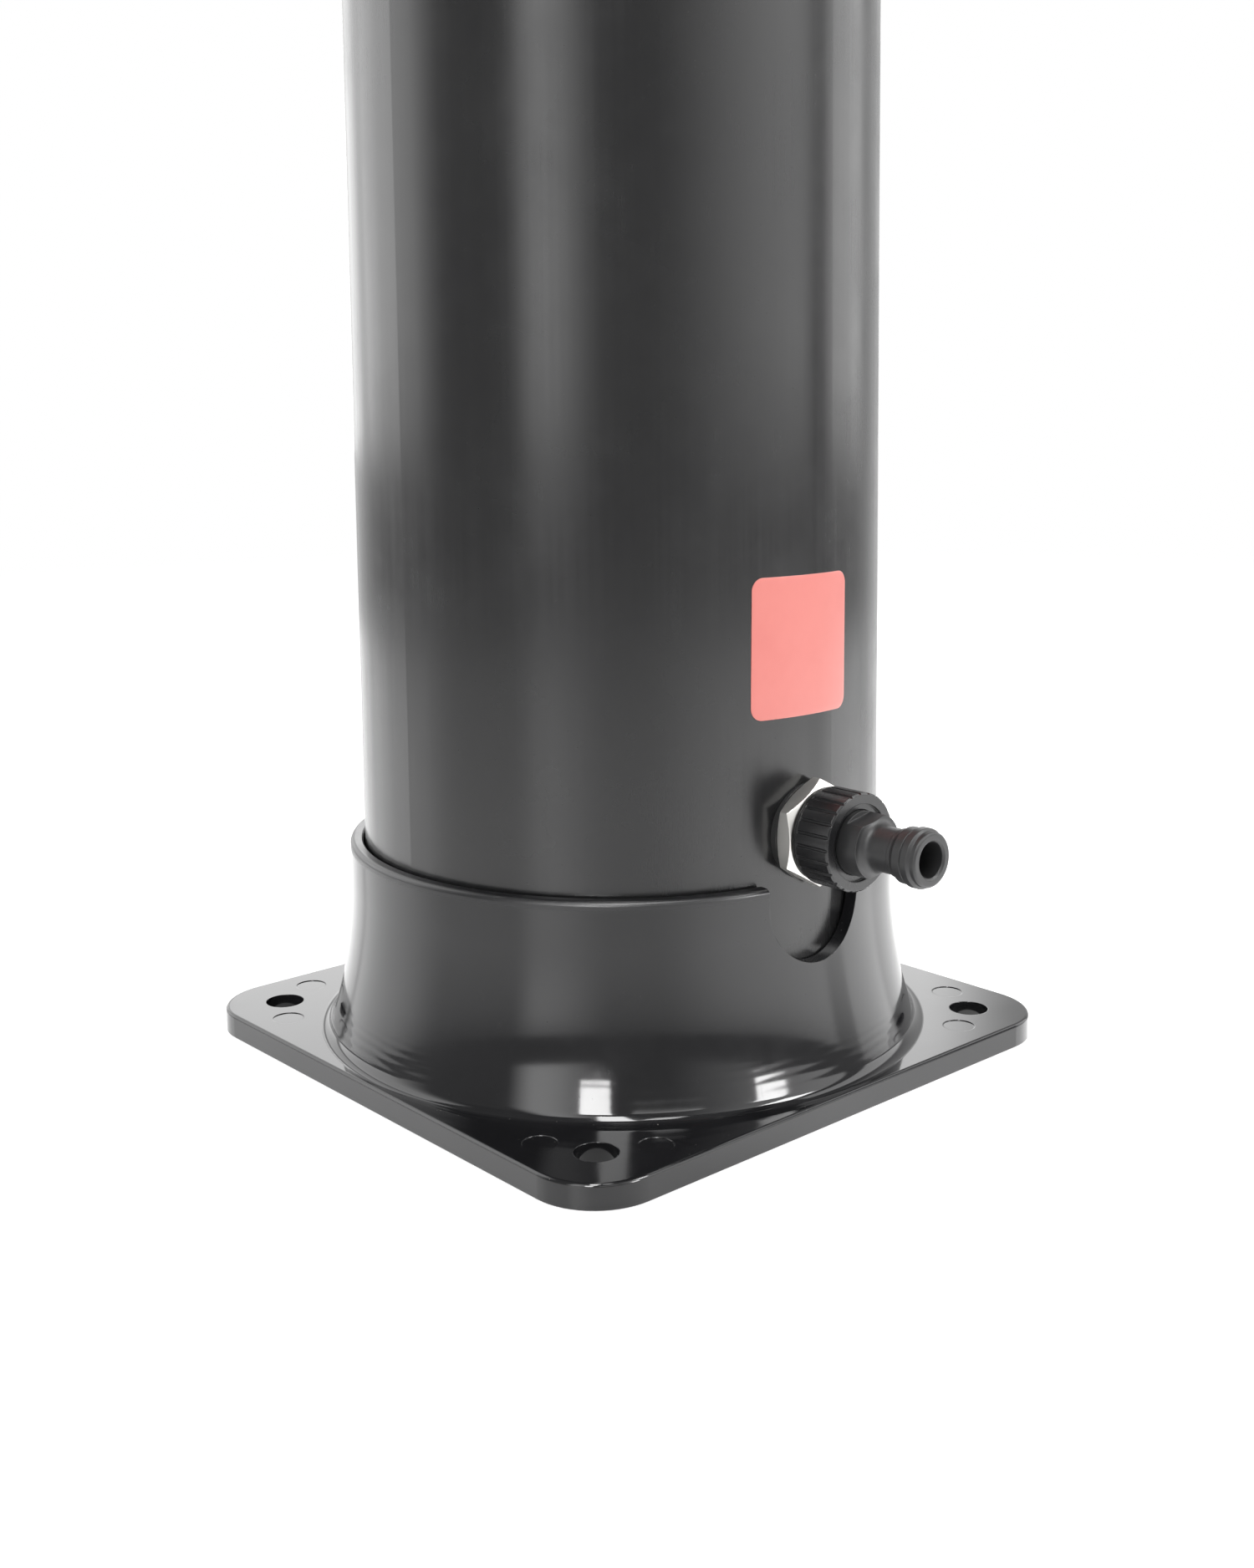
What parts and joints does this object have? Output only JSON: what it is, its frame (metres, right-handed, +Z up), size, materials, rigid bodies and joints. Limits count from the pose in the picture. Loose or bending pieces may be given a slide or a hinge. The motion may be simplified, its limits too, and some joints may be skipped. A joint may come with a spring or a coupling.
{
  "type": "solar outdoor shower",
  "caption": "Free-standing outdoor shower: a black sun-heated pipe tank on a flared square foot, with a garden-hose inlet, a single-lever mixer and a swan-neck arm with a tilting rain head.",
  "frame": {"origin": "centre of the foot's underside, on the tank's axis, at floor level", "axes": "+Z up along the tank, -Y the front with mixer and head, +Y the back with the hose inlet, +X to the right of someone facing the mixer"},
  "size_m": [0.193, 0.4044, 2.1651],
  "materials": {
    "foot_abs": "high-gloss black ABS moulding",
    "tank_pvc": "satin black-grey extruded PVC",
    "trim_abs": "satin black ABS",
    "connector_plastic": "fine matt black polyamide",
    "nickel_brass": "bright nickel-plated brass",
    "seal_rubber": "black rubber",
    "steel": "stainless steel",
    "inner_pvc": "grey-black PVC",
    "hose_pvc": "flexible hose",
    "chrome": "bright chrome plating on brass",
    "chrome_plastic": "chrome-plated ABS",
    "face_plastic": "satin silver ABS face",
    "nozzle_rubber": "grey silicone",
    "brass": "plain brass",
    "cartridge_plastic": "white acetal",
    "ceramic_disc": "polished ceramic",
    "index_plastic": "coral-red plastic and vinyl"
  },
  "bodies": {
    "root": {"base_foot": "foot_abs", "foot_screws": "steel", "lower_pipe": "tank_pvc", "bottom_plug": "inner_pvc", "inlet_nipple": "nickel_brass", "inlet_washer": "seal_rubber", "inlet_lock_nut": "nickel_brass", "inlet_inner_washer": "seal_rubber", "inlet_tee": "inner_pvc", "hose_union_nut": "connector_plastic", "hose_plug": "connector_plastic", "hose_plug_seal": "seal_rubber", "lower_spigot": "trim_abs", "coupling_seal": "seal_rubber", "coupling_ring": "trim_abs", "upper_tail": "trim_abs", "upper_pipe": "tank_pvc", "top_plug": "inner_pvc", "top_dome": "foot_abs", "dome_screws": "steel", "cold_hose": "hose_pvc", "hot_hose": "hose_pvc", "outlet_hose": "hose_pvc", "hose_ferrules": "steel", "mixer_saddle": "seal_rubber", "mixer_body": "chrome", "mixer_inner_washer": "inner_pvc", "mixer_back_nut": "brass", "cartridge_housing": "cartridge_plastic", "cartridge_seals": "seal_rubber", "fixed_disc": "ceramic_disc", "cartridge_ring_nut": "brass", "swivel_bush": "cartridge_plastic", "arm_seals": "seal_rubber"},
    "mixing_guide": {"cartridge_guide": "cartridge_plastic", "guide_pin": "steel"},
    "mixing_disc": {"moving_disc": "ceramic_disc", "disc_carrier": "cartridge_plastic"},
    "lever": {"lever_stem": "brass", "lever_handle": "chrome", "handle_screw": "steel", "handle_cap": "index_plastic"},
    "arm": {"shower_arm": "chrome", "arm_clip": "steel", "arm_rosette": "chrome", "head_ball": "chrome"},
    "head": {"head_collar": "chrome_plastic", "ball_seal": "seal_rubber", "head_shell": "chrome_plastic", "spray_plate": "face_plastic", "nozzle_mat": "nozzle_rubber"}
  },
  "joints": [
    {"name": "lever_turn", "type": "hinge", "parent": "root", "child": "mixing_guide", "pos_m": [0, -0.122, 1.15], "axis": [0, -1, 0], "range_deg": [-45, 45]},
    {"name": "lever_lift", "type": "hinge", "parent": "mixing_guide", "child": "lever", "pos_m": [0, -0.122, 1.15], "axis": [-1, 0, 0], "range_deg": [0, 25]},
    {"name": "disc_slide", "type": "slide", "parent": "mixing_guide", "child": "mixing_disc", "axis": [0, 0, -1], "range_m": [0, 0.00305]},
    {"name": "arm_swivel", "type": "hinge", "parent": "root", "child": "arm", "pos_m": [0, 0, 1.99], "axis": [0, 0, 1], "continuous": true},
    {"name": "head_tilt", "type": "hinge", "parent": "arm", "child": "head", "pos_m": [0, -0.2, 2.01205], "axis": [1, 0, 0], "range_deg": [-15, 15]}
  ],
  "couplings": [
    {"joint": "disc_slide", "follows": "lever_lift", "m_per_rad": 0.00694}
  ]
}
